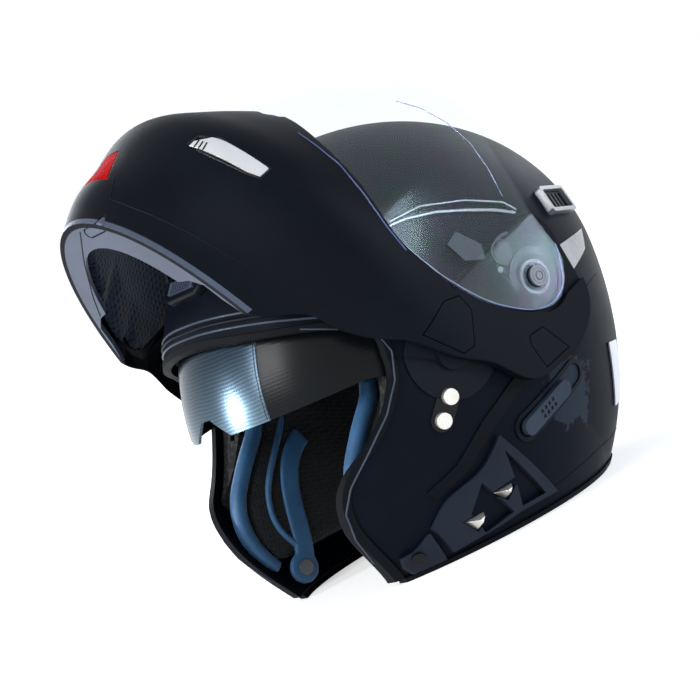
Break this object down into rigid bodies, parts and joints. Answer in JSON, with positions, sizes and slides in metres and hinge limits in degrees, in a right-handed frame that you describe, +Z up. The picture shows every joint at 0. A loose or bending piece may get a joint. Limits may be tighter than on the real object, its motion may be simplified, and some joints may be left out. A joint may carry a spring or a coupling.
{
  "type": "modular motorcycle helmet",
  "caption": "Flip-up motorcycle helmet with a raised chin bar, clear visor, drop-down sun visor, padded liner, vents and release button.",
  "frame": {"origin": "middle of the head opening's floor, on the plane of the bottom seal's underside", "axes": "+X to the wearer's left, -Y forward, +Z up"},
  "size_m": [0.265, 0.3149, 0.3034],
  "materials": {
    "shell_black": "matt painted",
    "cover_black": "satin moulded",
    "trim_rubber": "matt",
    "foam": "bead foam",
    "lining": "mesh knit",
    "lining_black": "brushed knit",
    "panel_navy": "smooth knit",
    "blue_leather": "satin grain",
    "steel": "brushed",
    "chrome": "bright",
    "plate": "bare gloss",
    "reflector": "reflective",
    "disc_black": "satin",
    "vent_silver": "silver paint",
    "webbing": "woven",
    "rim_satin": "satin",
    "badge_red": "gloss",
    "clear_visor": "clear",
    "tinted_visor": "mirror tint",
    "slider_blue": "satin"
  },
  "bodies": {
    "shell": {"outer_shell": "shell_black", "face_trim": "trim_rubber", "bottom_seal": "trim_rubber", "foam_liner": "foam", "crown_pad": "lining", "cheek_pad_left": "lining", "cheek_pad_right": "lining", "cheek_roll_left": "blue_leather", "cheek_roll_right": "blue_leather", "neck_roll": "lining_black", "hinge_pins": "steel", "sun_visor_pins": "steel", "side_cover_left": "cover_black", "side_cover_right": "cover_black", "vent_blades": "chrome", "seam_seal_left": "trim_rubber", "seam_seal_right": "trim_rubber", "front_tab_left": "cover_black", "front_tab_right": "cover_black", "side_badges": "plate", "reflectors": "reflector", "tab_screws": "steel", "base_disc_left": "disc_black", "base_disc_right": "disc_black", "lock_pins": "chrome", "slider_bezel": "cover_black", "rear_vent_left": "vent_silver", "rear_vent_right": "vent_silver", "vent_grilles": "cover_black", "brow_vent": "cover_black", "chin_strap_left": "webbing", "chin_strap_right": "webbing", "strap_snap": "steel"},
    "chin_bar": {"chin_bar_shell": "shell_black", "rim_band": "rim_satin", "latch_pins": "steel", "tongue_cover_left": "cover_black", "tongue_cover_right": "cover_black", "hinge_cover_left": "cover_black", "hinge_cover_right": "cover_black", "chin_vent_left": "vent_silver", "chin_vent_right": "vent_silver", "chin_badge": "badge_red", "chin_pad_left": "lining", "chin_pad_right": "lining", "chin_panel": "panel_navy"},
    "visor": {"visor": "clear_visor", "visor_knobs": "chrome"},
    "sun_visor": {"sun_visor": "tinted_visor"},
    "slider": {"sun_visor_slider": "slider_blue"},
    "brow_shutter": {"brow_shutter": "vent_silver"},
    "release_button": {"release_button": "cover_black"},
    "latch_left": {"latch_left": "steel"},
    "latch_right": {"latch_right": "steel"}
  },
  "joints": [
    {"name": "chin_bar_hinge", "type": "hinge", "parent": "shell", "child": "chin_bar", "pos_m": [0, 0.01425, 0.1235], "axis": [1, 0, 0], "range_deg": [0, 74]},
    {"name": "visor_hinge", "type": "hinge", "parent": "chin_bar", "child": "visor", "pos_m": [0, 0.044, 0.13005], "axis": [1, 0, 0], "range_deg": [-45, 0]},
    {"name": "sun_visor_hinge", "type": "hinge", "parent": "shell", "child": "sun_visor", "pos_m": [0, 0.0247, 0.105], "axis": [1, 0, 0], "range_deg": [-32, 0]},
    {"name": "slider_slide", "type": "slide", "parent": "shell", "child": "slider", "axis": [0.0276, 0.9556, 0.2934], "range_m": [0, 0.014]},
    {"name": "brow_shutter_slide", "type": "slide", "parent": "shell", "child": "brow_shutter", "axis": [0, 0.6524, 0.7578], "range_m": [0, 0.005]},
    {"name": "release_button_press", "type": "slide", "parent": "chin_bar", "child": "release_button", "axis": [0, 0.9219, 0.3873], "range_m": [0, 0.0025], "stiffness_N_per_m": 300, "springref_m": -0.002},
    {"name": "latch_left_turn", "type": "hinge", "parent": "chin_bar", "child": "latch_left", "pos_m": [0.118, -0.03732, 0.1818], "axis": [1, 0, 0], "range_deg": [0, 10]},
    {"name": "latch_right_turn", "type": "hinge", "parent": "chin_bar", "child": "latch_right", "pos_m": [-0.118, -0.03732, 0.1818], "axis": [1, 0, 0], "range_deg": [0, 10]}
  ],
  "couplings": [
    {"joint": "slider_slide", "follows": "sun_visor_hinge", "m_per_rad": -0.025},
    {"joint": "latch_left_turn", "follows": "release_button_press", "rad_per_m": 69},
    {"joint": "latch_right_turn", "follows": "release_button_press", "rad_per_m": 69}
  ]
}
